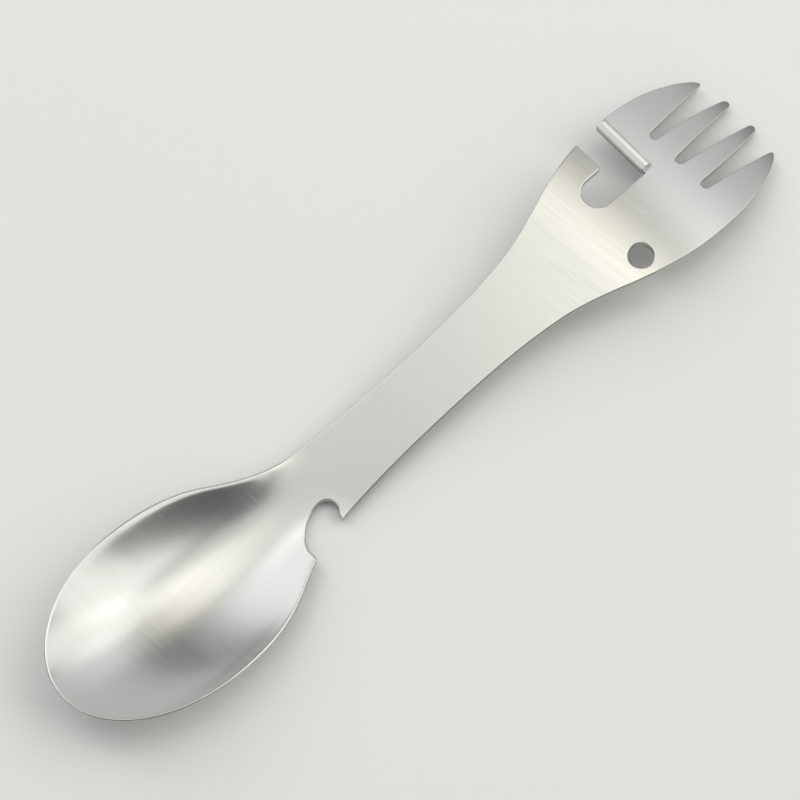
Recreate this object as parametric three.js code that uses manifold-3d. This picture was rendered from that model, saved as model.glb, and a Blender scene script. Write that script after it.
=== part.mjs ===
// Cutlery multi-tool: a spoon, a fork, a can opener and a bottle opener pressed from one sheet of steel.
// Millimetres, +Z up. It lies on its bowl and its tine tips, with the bowl towards -X and the tines towards +X.
// The real tool is a single piece of metal. It is built here as the sections that a maker would name, each
// its own mesh, and neighbours share a cross-section of the sheet, so that they meet face to face.
import * as THREE from "three";
import { mergeVertices } from "three/addons/utils/BufferGeometryUtils.js";
import Module from "manifold-3d";

const wasm = await Module();
wasm.setup();

// Sheet
const SHEET = 1.5;
const STEEL_COLOUR = 0xc9c8c2;
const STEEL_ROUGHNESS = 0.36;

// Plan outline: the whole length, and the lengths between its stations at both ends
const TOOL_LENGTH = 175.7;
const TIP_TO_WIDEST = 27;
const WIDEST_TO_FLANK = 19;
const FLANK_TO_NECK = 16;
const FLARE_TO_SHOULDER = 14;
const SHOULDER_TO_HEAD = 20.8;
const HEAD_TO_TINE_FLANK = 12.8;
const TINE_FLANK_TO_OUTER_TIP = 8.6;

// Plan outline: the half-width at each station
const BOWL_HALF = 18.1;
const FLANK_HALF = 13.9;
const NECK_HALF = 8;
const WAIST_HALF = 6.7;
const FLARE_HALF = 8.4;
const SHOULDER_HALF = 12.5;
const HEAD_HALF = 16.15;
const TINE_FLANK_HALF = 14.6;
const OUTER_TIP_HALF = 10.75;

// Plan outline: how fast it widens at the stations where it isn't level
const FLANK_TAPER_SLOPE = -0.56;
const NECK_TAPER_SLOPE = -0.105;
const FLARE_TAPER_SLOPE = 0.16;
const SHOULDER_TAPER_SLOPE = 0.357;
const TINE_FLANK_TAPER_SLOPE = -0.31;
const OUTER_TIP_TAPER_SLOPE = -0.71;

// Side profile: heights and slopes of the underside along the sheet's long edges
const TIP_HEIGHT = 10.1;
const TIP_SLOPE = -0.05;
const WIDEST_HEIGHT = 6.95;
const WIDEST_SLOPE = -0.17;
const NECK_BLEND_HEIGHT = 1.42;
const NECK_BLEND_SLOPE = -0.165;
const HANDLE_HEIGHT = 1.02;
const HANDLE_SLOPE = 0.1;
const BLEND_TO_NECK = 6;
const NECK_TO_HANDLE = 2;
const ARCH_TO_SHOULDER = 4;

// Pressing of the bowl: how quickly it fades towards the neck, and how upright its side walls are
const PRESSING_FADE = 1.5;
const WALL_POWER = 2.5;

// Can opener: a large and a small arc that share their highest point, ending in a hook
const NOTCH_TO_NECK = 1.9;
const NOTCH_REACH = 2.65;
const NOTCH_LARGE_RADIUS = 8.2;
const NOTCH_SMALL_RADIUS = 2.15;
const NOTCH_LARGE_SWEEP = 71;
const NOTCH_SMALL_SWEEP = 139.5;
const HOOK_OVERHANG = 0.3;
const HOOK_FLANK = 0.6;
const BOWL_TO_NOTCH = 2.3;

// Bottle opener: a mouth open to the side, a round-ended foot and a lip bent down
const LIP_TO_HEAD = 0.4;
const LIP_WIDTH = 1.9;
const LIP_BEND = 20;
const LIP_SHOULDER = 0.55;
const MOUTH_WIDTH = 5.95;
const FOOT_LENGTH = 7.15;
const FOOT_WIDTH = 6.3;
const MOUTH_FLOOR = 2.35;

// Hanging hole
const HOLE_DIAMETER = 5;
const HOLE_TO_HEAD = 15.3;
const HOLE_OFFSET = 9.65;

// Fork
const SLOT_PITCH = 7.07;
const SLOT_WIDTH = 1.8;
const HEAD_TO_SLOT = 4.1;
const INNER_TIP_BEYOND_OUTER = 1.5;
const INNER_TIP_OFFSET = 3.6;
const INNER_TIP_HALF = 0.85;
const INNER_TINE_SWELL = 0.35;
const OUTER_SLOT_SPREAD = 1.8;
const TIP_ROUNDING = 0.9;

// Fineness of the curved sections
const BOWL_SAMPLES = 200;
const SLOPE_STEP = 0.01;
const SMALLEST_HALF = 1e-6;
const MERGE_DISTANCE = 1e-3;
const BOWL_ACROSS_STEPS = 14;
const BOWL_FRONT_STEPS = 12;
const BOWL_BACK_STEP = 2;
const NECK_STEP = 1.75;
const HANDLE_STEP = 4;
const HEAD_STEP = 2.5;
const TINE_STEPS = 8;
const TIP_STEPS = 5;
const ARC_STEPS = 12;

// Stations along the tool, measured from the bowl's tip: the handle takes up the length that the ends leave
const widestAt = TIP_TO_WIDEST;
const flankAt = widestAt + WIDEST_TO_FLANK;
const neckAt = flankAt + FLANK_TO_NECK;
const innerTipAt = TOOL_LENGTH;
const outerTipAt = innerTipAt - INNER_TIP_BEYOND_OUTER;
const tineFlankAt = outerTipAt - TINE_FLANK_TO_OUTER_TIP;
const headAt = tineFlankAt - HEAD_TO_TINE_FLANK;
const shoulderAt = headAt - SHOULDER_TO_HEAD;
const flareAt = shoulderAt - FLARE_TO_SHOULDER;
const waistAt = (neckAt + flareAt) / 2;
const blendAt = neckAt - BLEND_TO_NECK;
const handleAt = neckAt + NECK_TO_HANDLE;
const archAt = shoulderAt - ARCH_TO_SHOULDER;
const slotRootAt = headAt + HEAD_TO_SLOT + SLOT_WIDTH / 2;

// Cubic Hermite curve through stations of [position, value, slope]
function hermite(stations, at) {
  const last = stations.length - 2;
  const found = stations.findIndex(([position], i) => i > 0 && at < position);
  const index = found < 0 ? last : found - 1;
  const [x0, y0, m0] = stations[index];
  const [x1, y1, m1] = stations[index + 1];
  const span = x1 - x0;
  const t = (at - x0) / span;
  const rise = y1 - y0;
  return y0 + t * span * m0 + t * t * (3 * rise - span * (2 * m0 + m1)) + t ** 3 * (span * (m0 + m1) - 2 * rise);
}

const outline = [
  [widestAt, BOWL_HALF, 0],
  [flankAt, FLANK_HALF, FLANK_TAPER_SLOPE],
  [neckAt, NECK_HALF, NECK_TAPER_SLOPE],
  [waistAt, WAIST_HALF, 0],
  [flareAt, FLARE_HALF, FLARE_TAPER_SLOPE],
  [shoulderAt, SHOULDER_HALF, SHOULDER_TAPER_SLOPE],
  [headAt, HEAD_HALF, 0],
  [tineFlankAt, TINE_FLANK_HALF, TINE_FLANK_TAPER_SLOPE],
  [outerTipAt, OUTER_TIP_HALF, OUTER_TIP_TAPER_SLOPE],
];

// Half-width of the tool: half an ellipse round the bowl's tip, then the outline's curve
function halfWidth(along) {
  if (along >= widestAt) return hermite(outline, along);
  const fromWidest = 1 - along / widestAt;
  return BOWL_HALF * Math.sqrt(Math.max(0, 1 - fromWidest ** 2));
}

const archHeight = HANDLE_HEIGHT + HANDLE_SLOPE * (archAt - handleAt);
const edgeProfile = [
  [0, TIP_HEIGHT, TIP_SLOPE],
  [widestAt, WIDEST_HEIGHT, WIDEST_SLOPE],
  [blendAt, NECK_BLEND_HEIGHT, NECK_BLEND_SLOPE],
  [handleAt, HANDLE_HEIGHT, HANDLE_SLOPE],
  [archAt, archHeight, HANDLE_SLOPE],
];

// The head and the tines follow one arc that leaves the handle smoothly and brings the tine tips to the table
const handleAngle = Math.atan(HANDLE_SLOPE);
const archSpan = innerTipAt - archAt;
const archDrop = archSpan * Math.sin(handleAngle) + archHeight * Math.cos(handleAngle);
const archRadius = (archSpan ** 2 + archHeight ** 2) / (2 * archDrop);
const archCentreAt = archAt + archRadius * Math.sin(handleAngle);
const archCentreHeight = archHeight - archRadius * Math.cos(handleAngle);

// Height of the underside along the long edges
function edgeHeight(along) {
  if (along < archAt) return hermite(edgeProfile, along);
  return archCentreHeight + Math.sqrt(archRadius ** 2 - (along - archCentreAt) ** 2);
}

// Depth of the pressing below its edges, by the share x of the way from the bowl's tip to the handle. It follows
// x (1 - x)^fade, which rises quickly, is largest at x = 1 / (1 + fade), where the depth is 1, and fades at the neck.
const deepestShare = 1 / (1 + PRESSING_FADE);
const pressingPeak = deepestShare * (1 - deepestShare) ** PRESSING_FADE;
function pressing(along) {
  const share = Math.min(1, along / handleAt);
  return (share * (1 - share) ** PRESSING_FADE) / pressingPeak;
}

// The bowl is pressed just deep enough for its underside to touch the table
const bowlStations = Array.from({ length: BOWL_SAMPLES }, (_, i) => ((i + 1) * blendAt) / BOWL_SAMPLES);
const bowlDepth = Math.min(...bowlStations.map((along) => edgeHeight(along) / pressing(along)));

// Underside of the sheet: level across, apart from the hollow pressed into the bowl
function underside(along, across) {
  const share = Math.abs(across) / Math.max(halfWidth(along), SMALLEST_HALF);
  return edgeHeight(along) - bowlDepth * pressing(along) * (1 - share ** WALL_POWER);
}

// Points on both faces of the sheet, one thickness apart along its normal. In the bowl and the neck the upper point
// is straight above the lower one instead, on the same upper face, because the bowl's rim is trimmed upright.
function facePair(face, along, across) {
  const step = SLOPE_STEP;
  const height = face(along, across);
  const slopeAlong = (face(along + step, across) - height) / step;
  const slopeAcross = (face(along, across + step) - face(along, across - step)) / (2 * step);
  const lower = new THREE.Vector3(along, across, height);
  const normal = new THREE.Vector3(-slopeAlong, -slopeAcross, 1).normalize();
  if (along < handleAt) return [lower, new THREE.Vector3(along, across, height + SHEET / normal.z)];
  return [lower, lower.clone().addScaledVector(normal, SHEET)];
}

// Closed length of sheet on a face, between the low and high edges of its stations of [along, low, high]
function sheetSection(face, stations, acrossSteps) {
  const rows = acrossSteps + 1;
  const corners = [];
  for (const [along, low, high] of stations) {
    for (let j = 0; j < rows; j++) {
      corners.push(...facePair(face, along, low + ((high - low) * j) / acrossSteps));
    }
  }
  const lower = (i, j) => 2 * (i * rows + j);
  const upper = (i, j) => lower(i, j) + 1;
  const triangles = [];
  const quad = (a, b, c, d) => triangles.push(a, b, c, a, c, d);
  const end = stations.length - 1;
  for (let i = 0; i < end; i++) {
    for (let j = 0; j < acrossSteps; j++) {
      quad(upper(i, j), upper(i + 1, j), upper(i + 1, j + 1), upper(i, j + 1));
      quad(lower(i, j), lower(i, j + 1), lower(i + 1, j + 1), lower(i + 1, j));
    }
    quad(lower(i, 0), lower(i + 1, 0), upper(i + 1, 0), upper(i, 0));
    quad(lower(i + 1, acrossSteps), lower(i, acrossSteps), upper(i, acrossSteps), upper(i + 1, acrossSteps));
  }
  for (let j = 0; j < acrossSteps; j++) {
    quad(lower(0, j), upper(0, j), upper(0, j + 1), lower(0, j + 1));
    quad(lower(end, j), lower(end, j + 1), upper(end, j + 1), upper(end, j));
  }
  return closed(new THREE.BufferGeometry().setFromPoints(corners).setIndex(triangles));
}

// The geometry with its shared corners merged and the triangles of a pointed end dropped
function closed(geometry) {
  geometry.deleteAttribute("normal");
  geometry.deleteAttribute("uv");
  const merged = mergeVertices(geometry, MERGE_DISTANCE);
  const old = merged.index.array;
  const kept = [];
  for (let i = 0; i < old.length; i += 3) {
    const [a, b, c] = old.slice(i, i + 3);
    if (a !== b && b !== c && c !== a) kept.push(a, b, c);
  }
  return merged.setIndex(kept);
}

function solid(geometry) {
  const mesh = new wasm.Mesh({
    numProp: 3,
    vertProperties: geometry.attributes.position.array,
    triVerts: new Uint32Array(geometry.index.array),
  });
  return new wasm.Manifold(mesh);
}

function geometryOf(manifold) {
  const mesh = manifold.getMesh();
  const geometry = new THREE.BufferGeometry();
  geometry.setAttribute("position", new THREE.BufferAttribute(mesh.vertProperties, 3));
  return geometry.setIndex(new THREE.BufferAttribute(mesh.triVerts, 1));
}

// Punches run out past the widest half of the tool, to the side and upwards and downwards
const outside = 2 * Math.max(BOWL_HALF, HEAD_HALF);

// Upright punch of a plan shape
function punch(shape) {
  const settings = { depth: 2 * outside, bevelEnabled: false, curveSegments: ARC_STEPS };
  const tool = new THREE.ExtrudeGeometry(shape, settings).translate(0, 0, -outside);
  return solid(closed(tool));
}

// Stations every step or less, with both ends and the outline's edges
function fullWidthStations(from, to, step) {
  const count = Math.ceil((to - from) / step);
  return Array.from({ length: count + 1 }, (_, i) => {
    const along = from + ((to - from) * i) / count;
    return [along, -halfWidth(along), halfWidth(along)];
  });
}

// Can-opener notch on the right-hand edge
const notchAt = neckAt - NOTCH_TO_NECK;
const notchSweep = THREE.MathUtils.degToRad(NOTCH_LARGE_SWEEP);
const notchWallAt = notchAt - NOTCH_LARGE_RADIUS * Math.sin(notchSweep);
const bowlEndAt = notchWallAt - BOWL_TO_NOTCH;

function notchShape() {
  const top = Math.PI / 2;
  const hookAngle = top - THREE.MathUtils.degToRad(NOTCH_SMALL_SWEEP);
  const largeCentre = -NOTCH_REACH - NOTCH_LARGE_RADIUS;
  const smallCentre = -NOTCH_REACH - NOTCH_SMALL_RADIUS;
  const hookRootAt = notchAt + NOTCH_SMALL_RADIUS * Math.cos(hookAngle);
  const hookRoot = smallCentre + NOTCH_SMALL_RADIUS * Math.sin(hookAngle);
  const hookAt = hookRootAt - HOOK_OVERHANG;
  return new THREE.Shape()
    .moveTo(notchWallAt, -outside)
    .lineTo(notchWallAt, largeCentre + NOTCH_LARGE_RADIUS * Math.cos(notchSweep))
    .absarc(notchAt, largeCentre, NOTCH_LARGE_RADIUS, top + notchSweep, top, true)
    .absarc(notchAt, smallCentre, NOTCH_SMALL_RADIUS, top, hookAngle, true)
    .lineTo(hookAt, hookRoot - HOOK_FLANK)
    .lineTo(hookAt, -outside)
    .closePath();
}

// Bottle opener on the left-hand edge: the cut-out, with the pocket that the lip fills
const lipRootAt = headAt - LIP_TO_HEAD;
const lipEdgeAt = lipRootAt - LIP_WIDTH;
const prongEndAt = lipEdgeAt - MOUTH_WIDTH;
const lipEnd = MOUTH_FLOOR + LIP_SHOULDER;
const footRadius = FOOT_WIDTH / 2;
const footCentreAt = prongEndAt - FOOT_LENGTH + footRadius;

function openerShape() {
  return new THREE.Shape()
    .moveTo(lipRootAt, outside)
    .lineTo(lipRootAt, lipEnd)
    .lineTo(lipEdgeAt, lipEnd)
    .lineTo(lipEdgeAt, MOUTH_FLOOR)
    .lineTo(footCentreAt, MOUTH_FLOOR)
    .absarc(footCentreAt, MOUTH_FLOOR + footRadius, footRadius, -Math.PI / 2, -1.5 * Math.PI, true)
    .lineTo(prongEndAt, MOUTH_FLOOR + FOOT_WIDTH)
    .lineTo(prongEndAt, outside)
    .closePath();
}

function lipPocketShape() {
  return new THREE.Shape()
    .moveTo(lipEdgeAt, lipEnd)
    .lineTo(lipRootAt, lipEnd)
    .lineTo(lipRootAt, outside)
    .lineTo(lipEdgeAt, outside)
    .closePath();
}

// Round root of a fork slot, open towards the tines
function slotRootShape(centre) {
  const radius = SLOT_WIDTH / 2;
  const beyond = slotRootAt + SLOT_WIDTH;
  return new THREE.Shape()
    .moveTo(beyond, centre + radius)
    .absarc(slotRootAt, centre, radius, Math.PI / 2, 1.5 * Math.PI, false)
    .lineTo(beyond, centre - radius)
    .closePath();
}

function holeShape() {
  return new THREE.Shape().absarc(headAt - HOLE_TO_HEAD, -HOLE_OFFSET, HOLE_DIAMETER / 2, 0, 2 * Math.PI, false);
}

function spoonBowl() {
  const front = Array.from({ length: BOWL_FRONT_STEPS }, (_, i) => {
    const turn = (Math.PI / 2) * (i / BOWL_FRONT_STEPS);
    const along = widestAt * (1 - Math.cos(turn));
    return [along, -halfWidth(along), halfWidth(along)];
  });
  const back = fullWidthStations(widestAt, bowlEndAt, BOWL_BACK_STEP);
  return sheetSection(underside, [...front, ...back], BOWL_ACROSS_STEPS);
}

function canOpenerNeck() {
  const blank = sheetSection(underside, fullWidthStations(bowlEndAt, handleAt, NECK_STEP), BOWL_ACROSS_STEPS);
  return geometryOf(solid(blank).subtract(punch(notchShape())));
}

function handle() {
  return sheetSection(underside, fullWidthStations(handleAt, archAt, HANDLE_STEP), 1);
}

function bottleOpenerHead() {
  const blank = sheetSection(underside, fullWidthStations(archAt, slotRootAt, HEAD_STEP), 1);
  const shapes = [openerShape(), holeShape(), ...[-1, 0, 1].map((k) => slotRootShape(k * SLOT_PITCH))];
  return geometryOf(shapes.reduce((rest, shape) => rest.subtract(punch(shape)), solid(blank)));
}

// The lip turns down from its root, towards the mouth
function bottleOpenerLip() {
  const rootHeight = edgeHeight(lipRootAt);
  const rootSlope = (edgeHeight(headAt) - rootHeight) / (headAt - lipRootAt);
  const slope = rootSlope + Math.tan(THREE.MathUtils.degToRad(LIP_BEND));
  const bent = (along) => rootHeight + slope * (along - lipRootAt);
  const strip = fullWidthStations(lipEdgeAt - SHEET, lipRootAt + SHEET, LIP_WIDTH);
  return geometryOf(solid(sheetSection(bent, strip, 1)).intersect(punch(lipPocketShape())));
}

// A tine between two edge curves, rounded off over its last stretch
function tine(tipAt, lowEdge, highEdge) {
  const roundFrom = tipAt - TIP_ROUNDING;
  const straight = Array.from({ length: TINE_STEPS }, (_, i) => {
    const along = slotRootAt + ((roundFrom - slotRootAt) * i) / TINE_STEPS;
    return [along, lowEdge(along), highEdge(along)];
  });
  const rounded = Array.from({ length: TIP_STEPS + 1 }, (_, i) => {
    const turn = (Math.PI / 2) * (i / TIP_STEPS);
    const along = roundFrom + TIP_ROUNDING * Math.sin(turn);
    const middle = (lowEdge(along) + highEdge(along)) / 2;
    const half = ((highEdge(along) - lowEdge(along)) / 2) * (i < TIP_STEPS ? Math.cos(turn) : 0);
    return [along, middle - half, middle + half];
  });
  return sheetSection(underside, [...straight, ...rounded], 1);
}

// An edge from the slot's root to the tip, swelling by the given amount half-way
function tineEdge(tipAt, root, tip, swell) {
  return (along) => {
    const t = (along - slotRootAt) / (tipAt - slotRootAt);
    return root + (tip - root) * t + 4 * swell * t * (1 - t);
  };
}

const slotHalf = SLOT_WIDTH / 2;
const innerTine = [
  tineEdge(innerTipAt, slotHalf, INNER_TIP_OFFSET - INNER_TIP_HALF, 0),
  tineEdge(innerTipAt, SLOT_PITCH - slotHalf, INNER_TIP_OFFSET + INNER_TIP_HALF, INNER_TINE_SWELL),
];
const outerRoot = SLOT_PITCH + slotHalf;
const outerTine = [tineEdge(outerTipAt, outerRoot, outerRoot + OUTER_SLOT_SPREAD, 0), halfWidth];
const mirrored = ([low, high]) => [(along) => -high(along), (along) => -low(along)];

const sections = {
  spoon_bowl: spoonBowl(),
  can_opener_neck: canOpenerNeck(),
  handle: handle(),
  bottle_opener_head: bottleOpenerHead(),
  bottle_opener_lip: bottleOpenerLip(),
  fork_tine_1: tine(outerTipAt, ...outerTine),
  fork_tine_2: tine(innerTipAt, ...innerTine),
  fork_tine_3: tine(innerTipAt, ...mirrored(innerTine)),
  fork_tine_4: tine(outerTipAt, ...mirrored(outerTine)),
};

const tool = new THREE.Group();
for (const [name, geometry] of Object.entries(sections)) {
  geometry.computeVertexNormals();
  const steel = new THREE.MeshStandardMaterial({
    color: STEEL_COLOUR,
    roughness: STEEL_ROUGHNESS,
    metalness: 1,
    flatShading: true,
  });
  const section = new THREE.Mesh(geometry, steel);
  section.name = name;
  tool.add(section);
}

// The origin is under the middle of the tool, on the table
const box = new THREE.Box3().setFromObject(tool);
const middle = box.getCenter(new THREE.Vector3());
tool.children.forEach((section) => section.position.set(-middle.x, -middle.y, -box.min.z));

export default tool;
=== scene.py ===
"""Spork pressed from one sheet of satin stainless steel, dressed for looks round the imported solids.

Lengths in the shape's functions are millimetres. Along is measured from the bowl's tip towards the fork,
across from the middle line towards the bottle-opener edge, and heights from the table.
"""

import math

import bpy
import numpy as np
from mathutils import Matrix, Quaternion, Vector
from mathutils.geometry import delaunay_2d_cdt


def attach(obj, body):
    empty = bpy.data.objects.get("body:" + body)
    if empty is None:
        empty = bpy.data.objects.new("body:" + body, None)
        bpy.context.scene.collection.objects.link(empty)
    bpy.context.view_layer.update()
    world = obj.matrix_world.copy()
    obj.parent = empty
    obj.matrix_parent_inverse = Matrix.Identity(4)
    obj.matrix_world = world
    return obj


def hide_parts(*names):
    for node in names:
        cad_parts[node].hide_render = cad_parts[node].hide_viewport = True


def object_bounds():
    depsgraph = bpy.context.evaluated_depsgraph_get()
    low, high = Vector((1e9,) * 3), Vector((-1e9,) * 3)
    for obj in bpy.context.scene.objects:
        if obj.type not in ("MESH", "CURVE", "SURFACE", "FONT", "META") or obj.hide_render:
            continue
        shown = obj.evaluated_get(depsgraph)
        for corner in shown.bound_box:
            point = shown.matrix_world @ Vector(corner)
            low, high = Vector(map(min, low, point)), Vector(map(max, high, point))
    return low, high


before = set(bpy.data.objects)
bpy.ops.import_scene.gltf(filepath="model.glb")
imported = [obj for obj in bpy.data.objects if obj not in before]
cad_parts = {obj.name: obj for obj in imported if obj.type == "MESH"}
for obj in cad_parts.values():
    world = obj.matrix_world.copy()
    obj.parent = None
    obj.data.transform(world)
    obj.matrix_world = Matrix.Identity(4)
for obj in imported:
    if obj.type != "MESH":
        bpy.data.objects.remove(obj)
cad_low, cad_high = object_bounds()

MM = 0.001
bowl_tip_x = cad_low.x

# Sheet and the finish of its edges. A tight corner's edge is rounded by a share of the corner's own radius
SHEET = 1.5
EDGE_ROUNDING = 0.3
RIM_ROUNDING = 0.5
ROUNDING_SHARE = 0.55
CORNER_SOFTNESS = 0.22

# Plan outline: its length, the distances between its stations, and the half-width and the taper at each
TOOL_LENGTH = 175.7
TIP_TO_WIDEST = 27.0
WIDEST_TO_FLANK = 19.0
FLANK_TO_NECK = 16.0
FLARE_TO_SHOULDER = 14.0
SHOULDER_TO_HEAD = 20.8
HEAD_TO_TINE_FLANK = 12.8
TINE_FLANK_TO_OUTER_TIP = 8.6
INNER_TIP_BEYOND_OUTER = 1.5
BOWL_HALF = 18.1
FLANK_HALF = 13.9
NECK_HALF = 8.0
WAIST_HALF = 6.7
FLARE_HALF = 8.4
SHOULDER_HALF = 12.5
HEAD_HALF = 16.15
TINE_FLANK_HALF = 14.6
OUTER_TIP_HALF = 10.75
FLANK_TAPER_SLOPE = -0.56
NECK_TAPER_SLOPE = -0.105
FLARE_TAPER_SLOPE = 0.16
SHOULDER_TAPER_SLOPE = 0.357
TINE_FLANK_TAPER_SLOPE = -0.31
OUTER_TIP_TAPER_SLOPE = -0.71

widest_at = TIP_TO_WIDEST
flank_at = widest_at + WIDEST_TO_FLANK
neck_at = flank_at + FLANK_TO_NECK
inner_tip_at = TOOL_LENGTH
outer_tip_at = inner_tip_at - INNER_TIP_BEYOND_OUTER
tine_flank_at = outer_tip_at - TINE_FLANK_TO_OUTER_TIP
head_at = tine_flank_at - HEAD_TO_TINE_FLANK
shoulder_at = head_at - SHOULDER_TO_HEAD
flare_at = shoulder_at - FLARE_TO_SHOULDER
waist_at = (neck_at + flare_at) / 2

# Each row is a station, the half-width there and how fast it widens
OUTLINE = np.array([
    (widest_at, BOWL_HALF, 0.0),
    (flank_at, FLANK_HALF, FLANK_TAPER_SLOPE),
    (neck_at, NECK_HALF, NECK_TAPER_SLOPE),
    (waist_at, WAIST_HALF, 0.0),
    (flare_at, FLARE_HALF, FLARE_TAPER_SLOPE),
    (shoulder_at, SHOULDER_HALF, SHOULDER_TAPER_SLOPE),
    (head_at, HEAD_HALF, 0.0),
    (tine_flank_at, TINE_FLANK_HALF, TINE_FLANK_TAPER_SLOPE),
    (outer_tip_at, OUTER_TIP_HALF, OUTER_TIP_TAPER_SLOPE),
])

# Side profile of the underside along the long edges: heights, slopes and the stations between bowl and head
TIP_HEIGHT = 10.1
TIP_SLOPE = -0.05
WIDEST_HEIGHT = 6.95
WIDEST_SLOPE = -0.17
NECK_BLEND_HEIGHT = 1.42
NECK_BLEND_SLOPE = -0.165
HANDLE_HEIGHT = 1.02
HANDLE_SLOPE = 0.1
BLEND_TO_NECK = 6.0
NECK_TO_HANDLE = 2.0
NECK_TO_LEVEL = 4.0
ARCH_TO_SHOULDER = 4.0

blend_at = neck_at - BLEND_TO_NECK
handle_at = neck_at + NECK_TO_HANDLE
level_at = neck_at + NECK_TO_LEVEL
arch_at = shoulder_at - ARCH_TO_SHOULDER
level_height = HANDLE_HEIGHT + HANDLE_SLOPE * (level_at - handle_at)
arch_height = HANDLE_HEIGHT + HANDLE_SLOPE * (arch_at - handle_at)

# Each row is a station, the height there and its slope
EDGE_PROFILE = np.array([
    (0.0, TIP_HEIGHT, TIP_SLOPE),
    (widest_at, WIDEST_HEIGHT, WIDEST_SLOPE),
    (blend_at, NECK_BLEND_HEIGHT, NECK_BLEND_SLOPE),
    (level_at, level_height, HANDLE_SLOPE),
    (arch_at, arch_height, HANDLE_SLOPE),
])

# Pressing of the bowl: its fade towards the neck, its walls and the level border that opens out to the neck
PRESSING_FADE = 1.5
NECK_FLOOR_FROM = 50.0
LEAN_SPAN = 8.0
WALL_POWER = 2.5
BORDER_SHARE = 0.075
BORDER_BEND = 0.11
BORDER_FROM = 8.0
NOTCH_SIDE_BORDER = 0.5

# Can-opener notch
NOTCH_TO_NECK = 1.9
NOTCH_LARGE_RADIUS = 8.2
NOTCH_SMALL_RADIUS = 2.15
NOTCH_REACH = 2.65
NOTCH_LARGE_SWEEP = math.radians(71)
NOTCH_SMALL_SWEEP = math.radians(139.5)
HOOK_OVERHANG = 0.3
HOOK_FLANK = 0.6
notch_at = neck_at - NOTCH_TO_NECK
notch_wall_at = notch_at - NOTCH_LARGE_RADIUS * math.sin(NOTCH_LARGE_SWEEP)

# Bottle opener
LIP_TO_HEAD = 0.4
LIP_WIDTH = 1.9
LIP_BEND = math.radians(20)
LIP_CREASE = 0.5
LIP_CORNER = 0.5
LIP_STEP = 1.1
LIP_SHOULDER = 0.55
MOUTH_WIDTH = 5.95
MOUTH_FLOOR = 2.35
FOOT_LENGTH = 7.15
FOOT_WIDTH = 6.3
PRONG_CORNER = 0.5
lip_slope = math.tan(LIP_BEND)
lip_root_at = head_at - LIP_TO_HEAD
lip_edge_at = lip_root_at - LIP_WIDTH
lip_end = MOUTH_FLOOR + LIP_SHOULDER
prong_end_at = lip_edge_at - MOUTH_WIDTH
foot_radius = FOOT_WIDTH / 2
foot_centre_at = prong_end_at - FOOT_LENGTH + foot_radius

# Hanging hole
HOLE_DIAMETER = 5.0
HOLE_TO_HEAD = 15.3
HOLE_OFFSET = 9.65
hole_radius = HOLE_DIAMETER / 2
hole_at = head_at - HOLE_TO_HEAD

# Fork
HEAD_TO_SLOT = 4.1
SLOT_PITCH = 7.07
SLOT_WIDTH = 1.8
INNER_TIP_OFFSET = 3.6
INNER_TIP_HALF = 0.85
INNER_TINE_SWELL = 0.35
OUTER_SLOT_SPREAD = 1.8
TIP_ROUNDING = 0.9
slot_half = SLOT_WIDTH / 2
slot_root_at = head_at + HEAD_TO_SLOT + slot_half

# Fineness of the outline and of the rounded edges
PATH_STEP = 0.05
LONGEST_STEP = 0.5
SHORTEST_STEP = 0.1
TURN_PER_STEP = 0.22
TIP_POINTS = 60
EDGE_STEPS = 7
ROUNDING_REACH = 8

# Fineness of the faces, and how far the finer grid at the lip reaches beyond the lip
FACE_STEP = 0.9
LIP_FACE_STEP = 0.2
FACE_MARGIN = 0.45
BOWL_COLUMNS = 61
BOWL_MARGIN = 0.15
LIP_GRID_BEFORE_EDGE = 0.1
LIP_GRID_BEYOND_ROOT = 0.8
LIP_GRID_BELOW_FLOOR = 1.2
LIP_GRID_SIDE = 17.0

# Small steps and limits of the sums, and the number of parts in which long runs are handled
SLOPE_STEP = 0.01
SMALLEST = 1e-6
MERGE_DISTANCE = 1e-7
BOWL_SAMPLES = 200
CHUNKS = 24

# Satin finish: sizes of its patches and strokes, the noise's levels where they begin and end, and the gloss
PATCH_SIZE = 30.0
PATCH_FROM = 0.4
PATCH_TO = 0.6
STROKE_LENGTH = 16.0
STROKE_WIDTH = 0.3
STROKE_TURNS = (4, -83)
STROKE_FROM = 0.4
STROKE_TO = 0.9
ROUGHNESS_LOW = 0.234
ROUGHNESS_HIGH = 0.289
EDGE_POLISH = 0.03

# Camera at the photograph's angle: 72 degrees above the table, from the notch side of the bowl
CAMERA_EYE = np.array([-99.48, -102.32, 439.77])
CAMERA_TARGET = np.array([-2.47, 2.589, 0.0])
CAMERA_SENSOR = 36
CAMERA_LENS = 108

# Studio, in metres
LAMP_DISTANCE = 1.6
FLOOR_HALF = 2.0


def station_curve(stations, at):
    """Smooth curve through the stations: each span is a cubic that meets both values with both slopes."""
    index = np.clip(np.searchsorted(stations[:, 0], at, side="right") - 1, 0, len(stations) - 2)
    x0, y0, m0 = np.moveaxis(stations[index], -1, 0)
    x1, y1, m1 = np.moveaxis(stations[index + 1], -1, 0)
    span = x1 - x0
    rise = y1 - y0
    t = (at - x0) / span
    squared = 3 * rise - span * (2 * m0 + m1)
    cubed = span * (m0 + m1) - 2 * rise
    return y0 + t * span * m0 + t**2 * squared + t**3 * cubed


def smooth_step(value, start, end):
    """Rises from 0 at the start to 1 at the end, level at both."""
    t = np.clip((value - start) / (end - start), 0, 1)
    return t**2 * (3 - 2 * t)


def half_width(along):
    """Half an ellipse round the bowl's tip as far as the widest station, then the outline's curve."""
    from_widest = np.clip(1 - along / widest_at, 0, 1)
    ellipse = BOWL_HALF * np.sqrt(1 - from_widest**2)
    return np.where(along < widest_at, ellipse, station_curve(OUTLINE, np.maximum(along, widest_at)))


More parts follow.
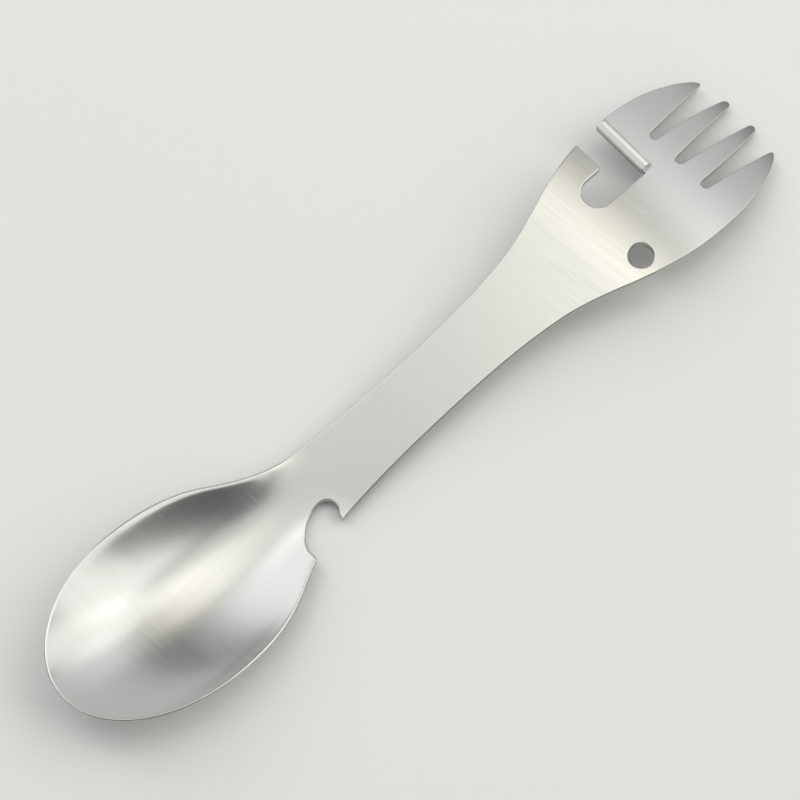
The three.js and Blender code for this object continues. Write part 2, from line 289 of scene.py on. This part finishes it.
# The head and the tines follow one arc that leaves the handle smoothly and brings the tine tips to the table
handle_angle = math.atan(HANDLE_SLOPE)
arch_span = inner_tip_at - arch_at
arch_drop = arch_span * math.sin(handle_angle) + arch_height * math.cos(handle_angle)
arch_radius = (arch_span**2 + arch_height**2) / (2 * arch_drop)
arch_centre_at = arch_at + arch_radius * math.sin(handle_angle)
arch_centre_height = arch_height - arch_radius * math.cos(handle_angle)


def edge_height(along):
    """Height of the underside along the long edges: the side profile's curve, then the arc of the head."""
    from_centre = np.maximum(along, arch_at) - arch_centre_at
    arch = arch_centre_height + np.sqrt(arch_radius**2 - from_centre**2)
    return np.where(along < arch_at, station_curve(EDGE_PROFILE, np.minimum(along, arch_at)), arch)


def pressing(along):
    """Share of the bowl's depth: x (1 - x)^fade over its peak, x running from tip to handle.

    The peak is at x = 1 / (1 + fade).
    """
    share = np.clip(along / handle_at, 0, 1)
    deepest = 1 / (1 + PRESSING_FADE)
    return share * (1 - share) ** PRESSING_FADE / (deepest * (1 - deepest) ** PRESSING_FADE)


def hollow_shape(along, across):
    """Cross-section of the pressing: 1 - share^power, which meets a level border with a soft bend.

    The bend is the upper branch of a hyperbola between the wall and the level. The border is fainter on the
    notch's side, and the front of the bowl has none: there the wall runs straight out at the rim.
    """
    share = np.abs(across) / np.maximum(half_width(along), SMALLEST)
    plain = 1 - share**WALL_POWER
    above = 1 - (share / (1 - BORDER_SHARE)) ** WALL_POWER
    bordered = (above + np.sqrt(above**2 + BORDER_BEND**2)) / (1 + np.sqrt(1 + BORDER_BEND**2))
    strength = np.where(across > 0, 1, NOTCH_SIDE_BORDER) * smooth_step(along, BORDER_FROM, flank_at)
    return plain + (bordered - plain) * strength


# The bowl is as deep as it can be without going under the table
bowl_stations = np.linspace(0, blend_at, BOWL_SAMPLES + 1)[1:]
bowl_depth = np.min(edge_height(bowl_stations) / pressing(bowl_stations))


def pressed_floor(along):
    """Height of the underside along the bowl's middle line: the edge's height less the pressing."""
    return edge_height(along) - bowl_depth * pressing(along)


neck_start = NECK_FLOOR_FROM - SLOPE_STEP * np.array([2, 1])
neck_heights = pressed_floor(neck_start)
NECK_FLOOR = np.array([
    (neck_start[1], neck_heights[1], (neck_heights[1] - neck_heights[0]) / SLOPE_STEP),
    (level_at, level_height, HANDLE_SLOPE),
])


def floor_height(along):
    """Height of the underside along the middle line: the pressing, then a cubic up the neck to the handle."""
    beyond_bowl = np.where(along < level_at, station_curve(NECK_FLOOR, along), edge_height(along))
    return np.where(along < NECK_FLOOR_FROM, pressed_floor(along), beyond_bowl)


def lip_share(along, across):
    """1 on the lip and its side of the head, 0 elsewhere, with a short step at the lip's end."""
    step = smooth_step(across, lip_end - LIP_STEP / 2, lip_end + LIP_STEP / 2)
    return np.where(along > (lip_edge_at + prong_end_at) / 2, step, 0)


def lip_drop(along, across):
    """How far the lip is bent down: a straight slope from its root, with a soft crease there."""
    back = lip_root_at - along
    crease = (back + LIP_CREASE) ** 2 / (4 * LIP_CREASE)
    ramp = np.where(back > LIP_CREASE, back, np.where(back > -LIP_CREASE, crease, 0))
    return lip_slope * ramp * lip_share(along, across)


def underside(along, across):
    """Height of the sheet's underside: level across, less the bowl's pressing and the lip's bend."""
    edge = edge_height(along)
    return edge - (edge - floor_height(along)) * hollow_shape(along, across) - lip_drop(along, across)


def sheet_points(plan, lift):
    """Points at the given lift above the underside, along its normal, and the normal there.

    In the bowl and the neck and at the lip's edge they are straight above their plan points, because those
    edges are trimmed upright.
    """
    along, across = plan[..., 0], plan[..., 1]
    height = underside(along, across)
    rise_along = underside(along + SLOPE_STEP, across) - underside(along - SLOPE_STEP, across)
    rise_across = underside(along, across + SLOPE_STEP) - underside(along, across - SLOPE_STEP)
    slope_along = rise_along / (2 * SLOPE_STEP)
    slope_across = rise_across / (2 * SLOPE_STEP)
    normal = np.stack([-slope_along, -slope_across, np.ones_like(height)], axis=-1)
    normal /= np.linalg.norm(normal, axis=-1, keepdims=True)
    upright = normal[..., 2]
    lean = smooth_step(along, handle_at, handle_at + LEAN_SPAN)
    lean *= 1 - lip_share(along, across) * smooth_step(lip_root_at - along, 0, LIP_WIDTH)
    shift = normal[..., :2] * (lift * lean)[..., None]
    rise = lift * (lean * upright + (1 - lean) / upright)
    return np.concatenate([plan + shift, (height + rise)[..., None]], axis=-1), normal


def line(start, end):
    """Straight run of plan points."""
    count = max(2, math.ceil(math.dist(start, end) / PATH_STEP))
    return np.linspace(start, end, count)


def arc(centre, radius, start, end):
    """Circular run of plan points between two angles."""
    count = max(2, math.ceil(radius * abs(end - start) / PATH_STEP))
    turn = np.linspace(start, end, count)
    return np.array(centre) + radius * np.column_stack([np.cos(turn), np.sin(turn)])


def long_edge(side, start, end):
    """Run of the plan outline on one side, +1 on the bottle-opener edge and -1 on the notch's."""
    along = np.linspace(start, end, max(2, math.ceil(abs(end - start) / PATH_STEP)))
    return np.column_stack([along, side * half_width(along)])


def bowl_front(start, end):
    """Run of the ellipse round the bowl's tip, by its angle from the tip."""
    turn = np.linspace(start, end, math.ceil(widest_at * abs(end - start) / PATH_STEP))
    return np.column_stack([widest_at * (1 - np.cos(turn)), BOWL_HALF * np.sin(turn)])


def notch_run():
    """Can-opener notch: a wall, a large and a small arc with one common top, and a hook."""
    top = math.pi / 2
    large_centre = (notch_at, -NOTCH_REACH - NOTCH_LARGE_RADIUS)
    small_centre = (notch_at, -NOTCH_REACH - NOTCH_SMALL_RADIUS)
    large = arc(large_centre, NOTCH_LARGE_RADIUS, top + NOTCH_LARGE_SWEEP, top)
    small = arc(small_centre, NOTCH_SMALL_RADIUS, top, top - NOTCH_SMALL_SWEEP)
    hook_at = small[-1, 0] - HOOK_OVERHANG
    hook = (hook_at, small[-1, 1] - HOOK_FLANK)
    wall_foot = (notch_wall_at, -float(half_width(notch_wall_at)))
    hook_foot = (hook_at, -float(half_width(hook_at)))
    return np.vstack([
        line(wall_foot, large[0]), large, small, line(small[-1], hook), line(hook, hook_foot),
    ])


def tine_edge(tip_at, root, tip, swell):
    """Edge of a tine as a function of along: a straight line from root to tip, plus a parabola's swell."""
    def edge(along):
        t = (along - slot_root_at) / (tip_at - slot_root_at)
        return root + (tip - root) * t + 4 * swell * t * (1 - t)
    return edge


def tine_run(tip_at, low, high):
    """Run out along a tine's low edge, round its elliptical tip and back along its high edge."""
    round_from = tip_at - TIP_ROUNDING
    out = np.linspace(slot_root_at, round_from, math.ceil((round_from - slot_root_at) / PATH_STEP))
    back = out[::-1]
    turn = np.linspace(-math.pi / 2, math.pi / 2, TIP_POINTS)
    along = round_from + TIP_ROUNDING * np.cos(turn)
    middle = (low(along) + high(along)) / 2
    half = (high(along) - low(along)) / 2
    tip = np.column_stack([along, middle + half * np.sin(turn)])
    return np.vstack([np.column_stack([out, low(out)]), tip, np.column_stack([back, high(back)])])


def fork_run():
    """The four tines in turn from the notch's side, with a round root between each two."""
    inner_tip_low = INNER_TIP_OFFSET - INNER_TIP_HALF
    inner_tip_high = INNER_TIP_OFFSET + INNER_TIP_HALF
    outer_root = SLOT_PITCH + slot_half
    inner_low = tine_edge(inner_tip_at, slot_half, inner_tip_low, 0)
    inner_high = tine_edge(inner_tip_at, SLOT_PITCH - slot_half, inner_tip_high, INNER_TINE_SWELL)
    outer_low = tine_edge(outer_tip_at, outer_root, outer_root + OUTER_SLOT_SPREAD, 0)
    up, down = math.pi / 2, 1.5 * math.pi
    roots = [arc((slot_root_at, k * SLOT_PITCH), slot_half, down, up) for k in (-1, 0, 1)]
    return np.vstack([
        tine_run(outer_tip_at, lambda a: -half_width(a), lambda a: -outer_low(a)),
        roots[0],
        tine_run(inner_tip_at, lambda a: -inner_high(a), lambda a: -inner_low(a)),
        roots[1],
        tine_run(inner_tip_at, inner_low, inner_high),
        roots[2],
        tine_run(outer_tip_at, outer_low, half_width),
    ])


def opener_run():
    """Bottle opener: the lip's corner and edge, the mouth's floor, the round foot and the prong."""
    quarter = math.pi / 2
    lip_side = float(half_width(lip_edge_at + LIP_CORNER))
    prong_side = float(half_width(prong_end_at))
    foot_top = MOUTH_FLOOR + FOOT_WIDTH
    lip_corner = arc((lip_edge_at + LIP_CORNER, lip_side - LIP_CORNER), LIP_CORNER, quarter, 2 * quarter)
    foot = arc((foot_centre_at, MOUTH_FLOOR + foot_radius), foot_radius, 3 * quarter, quarter)
    prong = arc((prong_end_at - PRONG_CORNER, foot_top + PRONG_CORNER), PRONG_CORNER, -quarter, 0)
    floor_end = (lip_edge_at, MOUTH_FLOOR)
    return np.vstack([
        lip_corner, line(lip_corner[-1], floor_end), line(floor_end, foot[0]), foot,
        line(foot[-1], prong[0]), prong, line(prong[-1], (prong_end_at, prong_side)),
    ])


def outline_path():
    """The whole plan outline, with the metal on its left: notch edge, tines, opener edge and bowl."""
    quarter = math.pi / 2
    notch = notch_run()
    return np.vstack([
        bowl_front(0, -quarter), long_edge(-1, widest_at, notch_wall_at), notch,
        long_edge(-1, notch[-1, 0], slot_root_at), fork_run(),
        long_edge(1, slot_root_at, lip_edge_at + LIP_CORNER), opener_run(),
        long_edge(1, prong_end_at, widest_at), bowl_front(quarter, 0),
    ])


def evenly(path, step):
    """The closed path with points at equal distances along it."""
    ends = np.vstack([path, path[:1]])
    gaps = np.linalg.norm(np.diff(ends, axis=0), axis=1)
    travelled = np.concatenate([[0], np.cumsum(gaps)])
    at = np.linspace(0, travelled[-1], round(travelled[-1] / step), endpoint=False)
    return np.column_stack([np.interp(at, travelled, ends[:, i]) for i in range(2)])


def softened(values, step, width):
    """Closed run of values averaged under a bell curve of the given width in millimetres."""
    count = len(values)
    distance = step * np.minimum(np.arange(count), count - np.arange(count))
    bell = np.exp(-0.5 * (distance / width) ** 2)
    spectrum = np.fft.rfft(bell / bell.sum())
    if values.ndim > 1:
        spectrum = spectrum[:, None]
    return np.fft.irfft(np.fft.rfft(values, axis=0) * spectrum, count, axis=0)


def rim_path(path, softness):
    """Plan points of a rim, their inward direction and the edge rounding there.

    The path's corners are worn soft, points stand closer together where it turns, and the rounding shrinks
    where an outward corner is too tight for it.
    """
    fine = evenly(path, PATH_STEP)
    if softness:
        fine = softened(fine, PATH_STEP, softness)
    ahead = np.roll(fine, -1, axis=0) - np.roll(fine, 1, axis=0)
    ahead /= np.linalg.norm(ahead, axis=1, keepdims=True)
    inward = np.column_stack([-ahead[:, 1], ahead[:, 0]])
    turn = np.sum((np.roll(ahead, -1, axis=0) - np.roll(ahead, 1, axis=0)) * inward, axis=1)
    curvature = softened(turn / (2 * PATH_STEP), PATH_STEP, PATH_STEP)
    tight = np.minimum(EDGE_ROUNDING, ROUNDING_SHARE / np.maximum(curvature, SMALLEST))
    nearby = [np.roll(tight, k) for k in range(-ROUNDING_REACH, ROUNDING_REACH + 1)]
    rounding = softened(np.min(nearby, axis=0), PATH_STEP, 2 * PATH_STEP)
    gap = np.clip(TURN_PER_STEP / np.maximum(np.abs(curvature), SMALLEST), SHORTEST_STEP, LONGEST_STEP)
    density = softened(1 / gap, PATH_STEP, 4 * PATH_STEP)
    travelled = np.concatenate([[0], np.cumsum(density) * PATH_STEP])
    at = np.linspace(0, travelled[-1], math.ceil(travelled[-1]), endpoint=False)
    table = np.column_stack([fine, inward, rounding])
    table = np.vstack([table, table[:1]])
    table = np.column_stack([np.interp(at, travelled, column) for column in table.T])
    inward = table[:, 2:4] / np.linalg.norm(table[:, 2:4], axis=1, keepdims=True)
    return table[:, :2], inward, table[:, 4]


def rim_surface(points, inward, rounding):
    """Rounded edge carried along a rim: a quarter circle, the wall and another quarter circle.

    Row by row from the underside's edge to the upper face's. Returns points, normals, the share of wear,
    which is most on the wall, and the plan of the inset.
    """
    low = np.linspace(-math.pi / 2, 0, EDGE_STEPS)
    angle = np.concatenate([low, low + math.pi / 2])[:, None]
    top_half = np.repeat([False, True], EDGE_STEPS)[:, None]
    ends_at = np.where(points[:, 1] > 0, handle_at, notch_wall_at)
    on_bowl = 1 - smooth_step(points[:, 0], flank_at, ends_at)
    top_rounding = rounding * (1 + (RIM_ROUNDING / EDGE_ROUNDING - 1) * on_bowl)
    radius = np.where(top_half, top_rounding, rounding)
    inset = radius * (1 - np.cos(angle))
    lift = np.where(top_half, SHEET - radius * (1 - np.sin(angle)), radius * (1 + np.sin(angle)))
    plan = points + inward * inset[..., None]
    surface, normal = sheet_points(plan, lift)
    level = np.zeros(plan.shape[:2] + (1,))
    outward = np.concatenate([np.broadcast_to(-inward, plan.shape), level], axis=-1)
    outward = outward - normal * np.sum(outward * normal, axis=-1, keepdims=True)
    outward /= np.linalg.norm(outward, axis=-1, keepdims=True)
    facing = outward * np.cos(angle)[..., None] + normal * np.sin(angle)[..., None]
    wear = np.broadcast_to(np.cos(angle), plan.shape[:2])
    return surface, facing, wear, plan[-1]


def rim_faces(rows, count, first):
    """Quads of a rim's grid, closed along the path, seen from outside."""
    row, at = np.meshgrid(np.arange(rows - 1), np.arange(count), indexing="ij")
    after = (at + 1) % count
    low, high = row * count, (row + 1) * count
    quads = np.stack([low + at, low + after, high + after, high + at], axis=-1)
    return quads.reshape(-1, 4) + first


def inside(points, loop):
    """Whether each plan point is inside a closed loop.

    It is if its line to one side crosses the loop an odd number of times.
    """
    after = np.roll(loop, -1, axis=0)
    low, high = loop[:, 1], after[:, 1]
    crossed = np.zeros(len(points), dtype=int)
    for part in np.array_split(np.arange(len(loop)), CHUNKS):
        spans = (low[part] > points[:, 1:]) != (high[part] > points[:, 1:])
        rise = np.where(high[part] == low[part], 1, high[part] - low[part])
        at = loop[part, 0] + (points[:, 1:] - low[part]) * (after[part, 0] - loop[part, 0]) / rise
        crossed += np.sum(spans & (points[:, :1] < at), axis=1)
    return crossed % 2 == 1


def distance_to(points, rims):
    """Distance of each plan point from the nearest point of the rims."""
    nearest = np.full(len(points), np.inf)
    for part in np.array_split(rims, CHUNKS):
        gap = np.linalg.norm(points[:, None] - part[None], axis=2).min(axis=1)
        nearest = np.minimum(nearest, gap)
    return nearest


def even_grid(low, high, step):
    """Plan points of an even grid between two corners."""
    axes = [np.arange(a + step / 2, b, step) for a, b in zip(low, high)]
    return np.stack(np.meshgrid(*axes, indexing="ij"), axis=-1).reshape(-1, 2)


def face_grid(loops):
    """Plan points of the faces: a grid of along and across, finer at the lip, kept clear of the rims.

    In the bowl and the neck the grid's columns follow the rim and stand closer to each other there. Returns
    the points and the pairs of neighbours in those columns.
    """
    lip_low = np.array([lip_edge_at - LIP_GRID_BEFORE_EDGE, MOUTH_FLOOR - LIP_GRID_BELOW_FLOOR])
    lip_high = np.array([lip_root_at + LIP_GRID_BEYOND_ROOT, LIP_GRID_SIDE])
    turns = np.linspace(-math.pi / 2, math.pi / 2, BOWL_COLUMNS)
    turn, along = np.meshgrid(turns, np.arange(FACE_STEP / 2, level_at, FACE_STEP), indexing="ij")
    bowl = np.stack([along, half_width(along) * np.sin(turn)], axis=-1).reshape(-1, 2)
    coarse = even_grid((level_at, -BOWL_HALF), (TOOL_LENGTH, BOWL_HALF), FACE_STEP)
    at_lip = np.all((coarse > lip_low - FACE_STEP / 2) & (coarse < lip_high + FACE_STEP / 2), axis=1)
    coarse = coarse[~at_lip]
    fine = even_grid(lip_low, lip_high, LIP_FACE_STEP)
    rims = np.vstack(loops)
    kept = []
    for points, margin in ((bowl, BOWL_MARGIN), (coarse, FACE_MARGIN), (fine, LIP_FACE_STEP / 2)):
        in_metal = inside(points, loops[0]) & ~inside(points, loops[1])
        kept.append(in_metal & (distance_to(points, rims) > margin))
    index = np.where(kept[0], np.cumsum(kept[0]) - 1, -1).reshape(turn.shape)
    columns = np.stack([index[:, :-1], index[:, 1:]], axis=-1).reshape(-1, 2)
    points = np.vstack([bowl[kept[0]], coarse[kept[1]], fine[kept[2]]])
    return points, columns[(columns >= 0).all(axis=1)]


def face_triangles(insets, interior, columns):
    """Triangles of a face in plan, as little drawn out as can be, without the hole.

    They are held to the rims and to the grid's columns.
    """
    plan = np.vstack([*insets, interior])
    lines = []
    start = 0
    for inset in insets:
        ring = start + np.arange(len(inset))
        lines.append(np.column_stack([ring, np.roll(ring, -1)]))
        start += len(inset)
    lines.append(columns + start)
    made = delaunay_2d_cdt(plan.tolist(), np.vstack(lines).tolist(), [], 0, MERGE_DISTANCE)
    _, _, faces, origins, _, _ = made
    triangles = np.array(origins).ravel()[np.array(faces)]
    centres = plan[triangles].mean(axis=1)
    return triangles[inside(centres, insets[0]) & ~inside(centres, insets[1])]


def pressed_blank():
    """The whole tool as one closed skin.

    Rounded edges are carried along the outline and the hole, and the two faces are the height function on a
    grid of along and across that ends at the rims. All corners are shared, so the skin has no seam.
    """
    hole = arc((hole_at, -HOLE_OFFSET), hole_radius, 2 * math.pi, 0)[:-1]
    rims = [rim_path(outline_path(), CORNER_SOFTNESS), rim_path(hole, 0)]
    points, normals, wear, quads, insets, upper, lower = [], [], [], [], [], [], []
    first = 0
    for rim in rims:
        surface, facing, share, inset = rim_surface(*rim)
        rows, count = surface.shape[:2]
        points.append(surface.reshape(-1, 3))
        normals.append(facing.reshape(-1, 3))
        wear.append(share.ravel())
        quads.append(rim_faces(rows, count, first))
        insets.append(inset)
        lower.append(first + np.arange(count))
        upper.append(first + (rows - 1) * count + np.arange(count))
        first += rows * count
    interior, columns = face_grid(insets)
    for lift, side, ids in ((0.0, -1, lower), (SHEET, 1, upper)):
        face, normal = sheet_points(interior, np.full(len(interior), lift))
        points.append(face)
        normals.append(side * normal)
        wear.append(np.zeros(len(interior)))
        ids.append(first + np.arange(len(interior)))
        first += len(interior)
    triangles = face_triangles(insets, interior, columns)
    top = np.concatenate(upper)[triangles]
    bottom = np.concatenate(lower)[triangles[:, ::-1]]
    points = np.vstack(points)
    points[:, 0] += bowl_tip_x / MM
    mesh = bpy.data.meshes.new("pressed_steel_blank")
    faces = [*np.vstack(quads).tolist(), *np.vstack([top, bottom]).tolist()]
    mesh.from_pydata((points * MM).tolist(), [], faces)
    mesh.shade_smooth()
    worn = mesh.attributes.new("worn_edge", "FLOAT", "POINT")
    worn.data.foreach_set("value", np.concatenate(wear).astype(np.float32))
    mesh.normals_split_custom_set_from_vertices(np.vstack(normals).tolist())
    piece = bpy.data.objects.new("pressed_steel_blank", mesh)
    bpy.context.scene.collection.objects.link(piece)
    return piece


def colour(code):
    """Linear colour of an sRGB hex code."""
    srgb = np.array([int(code[i:i + 2], 16) for i in (1, 3, 5)]) / 255
    linear = np.where(srgb <= 0.04045, srgb / 12.92, ((srgb + 0.055) / 1.055) ** 2.4)
    return (*linear.tolist(), 1.0)


def add_node(tree, kind, settings=(), links=()):
    """A node with its settings, which are properties or input values, and the links into it.

    A Mix node's inputs are told by number: its share is 0, its two values 2 and 3, its two colours 6 and 7.
    """
    made = tree.nodes.new(kind)
    for name, value in dict(settings).items():
        if isinstance(name, str) and hasattr(made, name):
            setattr(made, name, value)
        else:
            made.inputs[name].default_value = value
    for name, source in dict(links).items():
        tree.links.new(source, made.inputs[name])
    return made


def new_material(name):
    """An empty material with its output node."""
    material = bpy.data.materials.new(name)
    material.use_nodes = True
    tree = material.node_tree
    tree.nodes.clear()
    return material, tree, tree.nodes.new("ShaderNodeOutputMaterial")


def satin_steel():
    """Stainless steel, pressed and then polished satin.

    It gives the eye a soft grey gloss, brighter on the worn edges, with faint polishing strokes that run
    along the tool in some patches and across it in others. Real strokes are too fine to show in the picture,
    so these are drawn coarser.
    """
    material, tree, output = new_material("satin_stainless_steel")
    place = add_node(tree, "ShaderNodeTexCoord").outputs["Object"]
    worn = add_node(tree, "ShaderNodeAttribute", {"attribute_name": "worn_edge"}).outputs["Fac"]
    cloud = add_node(
        tree, "ShaderNodeTexNoise", {"Scale": 1 / (PATCH_SIZE * MM), "Detail": 2.0}, {"Vector": place})
    tint = add_node(
        tree, "ShaderNodeMix", {"data_type": "RGBA", 6: colour("#BEC0BF"), 7: colour("#C4C4C0")},
        {0: cloud.outputs["Fac"]})
    bright = add_node(
        tree, "ShaderNodeMix", {"data_type": "RGBA", 7: colour("#C8C8C4")},
        {0: worn, 6: tint.outputs[2]})
    marks = []
    for turn in STROKE_TURNS:
        lay = add_node(
            tree, "ShaderNodeMapping", {
                "vector_type": "TEXTURE", "Rotation": (0, 0, math.radians(turn)),
                "Scale": (STROKE_LENGTH * MM, STROKE_WIDTH * MM, STROKE_LENGTH * MM)},
            {"Vector": place})
        streak = add_node(
            tree, "ShaderNodeTexNoise", {"Scale": 1.0, "Detail": 1.0}, {"Vector": lay.outputs["Vector"]})
        marks.append(streak.outputs["Fac"])
    patch = add_node(
        tree, "ShaderNodeMapRange", {"From Min": PATCH_FROM, "From Max": PATCH_TO},
        {"Value": cloud.outputs["Fac"]})
    strokes = add_node(
        tree, "ShaderNodeMix", links={0: patch.outputs["Result"], 2: marks[0], 3: marks[1]})
    rough = add_node(
        tree, "ShaderNodeMapRange", {
            "From Min": STROKE_FROM, "From Max": STROKE_TO,
            "To Min": ROUGHNESS_LOW, "To Max": ROUGHNESS_HIGH},
        {"Value": strokes.outputs[0]})
    polished = add_node(
        tree, "ShaderNodeMath", {"operation": "MULTIPLY_ADD", 1: -EDGE_POLISH},
        {0: worn, 2: rough.outputs["Result"]})
    shader = add_node(
        tree, "ShaderNodeBsdfPrincipled", {"Metallic": 1.0},
        {"Base Color": bright.outputs[2], "Roughness": polished.outputs["Value"]})
    tree.links.new(shader.outputs["BSDF"], output.inputs["Surface"])
    return material


def matt_floor():
    """Matt pale paper: even and soft, so that it only takes the shadow."""
    material, tree, output = new_material("matt_pale_floor")
    shader = add_node(
        tree, "ShaderNodeBsdfPrincipled", {"Base Color": colour("#FAFAF8"), "Roughness": 0.9})
    tree.links.new(shader.outputs["BSDF"], output.inputs["Surface"])
    return material


def softbox(name, right, up, width, height, turn, radiance, tint):
    """Flat soft lamp that faces the tool.

    It is given by its direction in the picture, right and up, its width and height for each metre of
    distance, its turn in degrees, and the brightness and the colour of its face.
    """
    ahead = Vector((*(right * picture_right + up * picture_up), math.sqrt(1 - right**2 - up**2)))
    side = Vector((*picture_right, 0))
    side = (side - ahead * side.dot(ahead)).normalized()
    side.rotate(Quaternion(ahead, math.radians(turn)))
    lamp = bpy.data.lights.new(name, "AREA")
    lamp.shape = "RECTANGLE"
    lamp.size = width * LAMP_DISTANCE
    lamp.size_y = height * LAMP_DISTANCE
    lamp.energy = radiance * math.pi * lamp.size * lamp.size_y
    lamp.color = colour(tint)[:3]
    thing = bpy.data.objects.new(name, lamp)
    turned = Matrix((side, ahead.cross(side), ahead)).transposed().to_4x4()
    thing.matrix_world = Matrix.Translation(ahead * LAMP_DISTANCE) @ turned
    bpy.context.scene.collection.objects.link(thing)


scene = bpy.context.scene
scene.view_settings.view_transform = "Standard"

tool = pressed_blank()
tool.data.materials.append(satin_steel())
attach(tool, "root")
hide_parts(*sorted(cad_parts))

camera_data = bpy.data.cameras.new("camera")
camera_data.sensor_width = CAMERA_SENSOR
camera_data.lens = CAMERA_LENS
camera = bpy.data.objects.new("camera", camera_data)
camera.location = CAMERA_EYE * MM
camera.rotation_euler = Vector((CAMERA_TARGET - CAMERA_EYE) * MM).to_track_quat("-Z", "Y").to_euler()
scene.collection.objects.link(camera)
scene.camera = camera

floor_mesh = bpy.data.meshes.new("floor")
floor_corners = [(x * FLOOR_HALF, y * FLOOR_HALF, 0) for x, y in ((-1, -1), (1, -1), (1, 1), (-1, 1))]
floor_mesh.from_pydata(floor_corners, [], [(0, 1, 2, 3)])
floor_mesh.materials.append(matt_floor())
floor = bpy.data.objects.new("floor", floor_mesh)
scene.collection.objects.link(floor)

# Soft studio light all round, in the picture's own directions
heading = math.atan2(CAMERA_EYE[1], CAMERA_EYE[0]) + math.pi
picture_up = np.array([math.cos(heading), math.sin(heading)])
picture_right = np.array([picture_up[1], -picture_up[0]])
softbox("overhead_softbox", -0.178, 0.172, 1.124, 0.414, 0, 0.84, "#FFFFFD")
softbox("key_softbox", 0.07, 0.32, 0.31, 0.3, 0, 1.4, "#FFF8EA")
softbox("right_low_softbox", 0.71, -0.05, 0.96, 0.44, -25, 1.55, "#FFFFFB")
softbox("right_high_softbox", 0.71, 0.357, 1.226, 0.415, 17, 1.34, "#FFFFFB")
softbox("left_softbox", -0.53, 0.525, 1.01, 0.508, -48, 1.47, "#FFFFFF")
softbox("upper_softbox", 0.37, 0.5, 0.28, 0.34, 0, 0.38, "#FFFFFF")
softbox("back_softbox", 0.073, 0.904, 1.424, 0.614, -41, 0.68, "#FCFDFF")
softbox("front_softbox", 0.0, -0.9, 1.6, 0.5, 0, 0.35, "#FFFFFF")
softbox("bowl_end_softbox", -0.75, -0.45, 0.9, 0.6, 0, 0.7, "#FFFFFF")

world = bpy.data.worlds.new("studio")
world.use_nodes = True
world.node_tree.nodes["Background"].inputs["Color"].default_value = colour("#6E706E")
scene.world = world
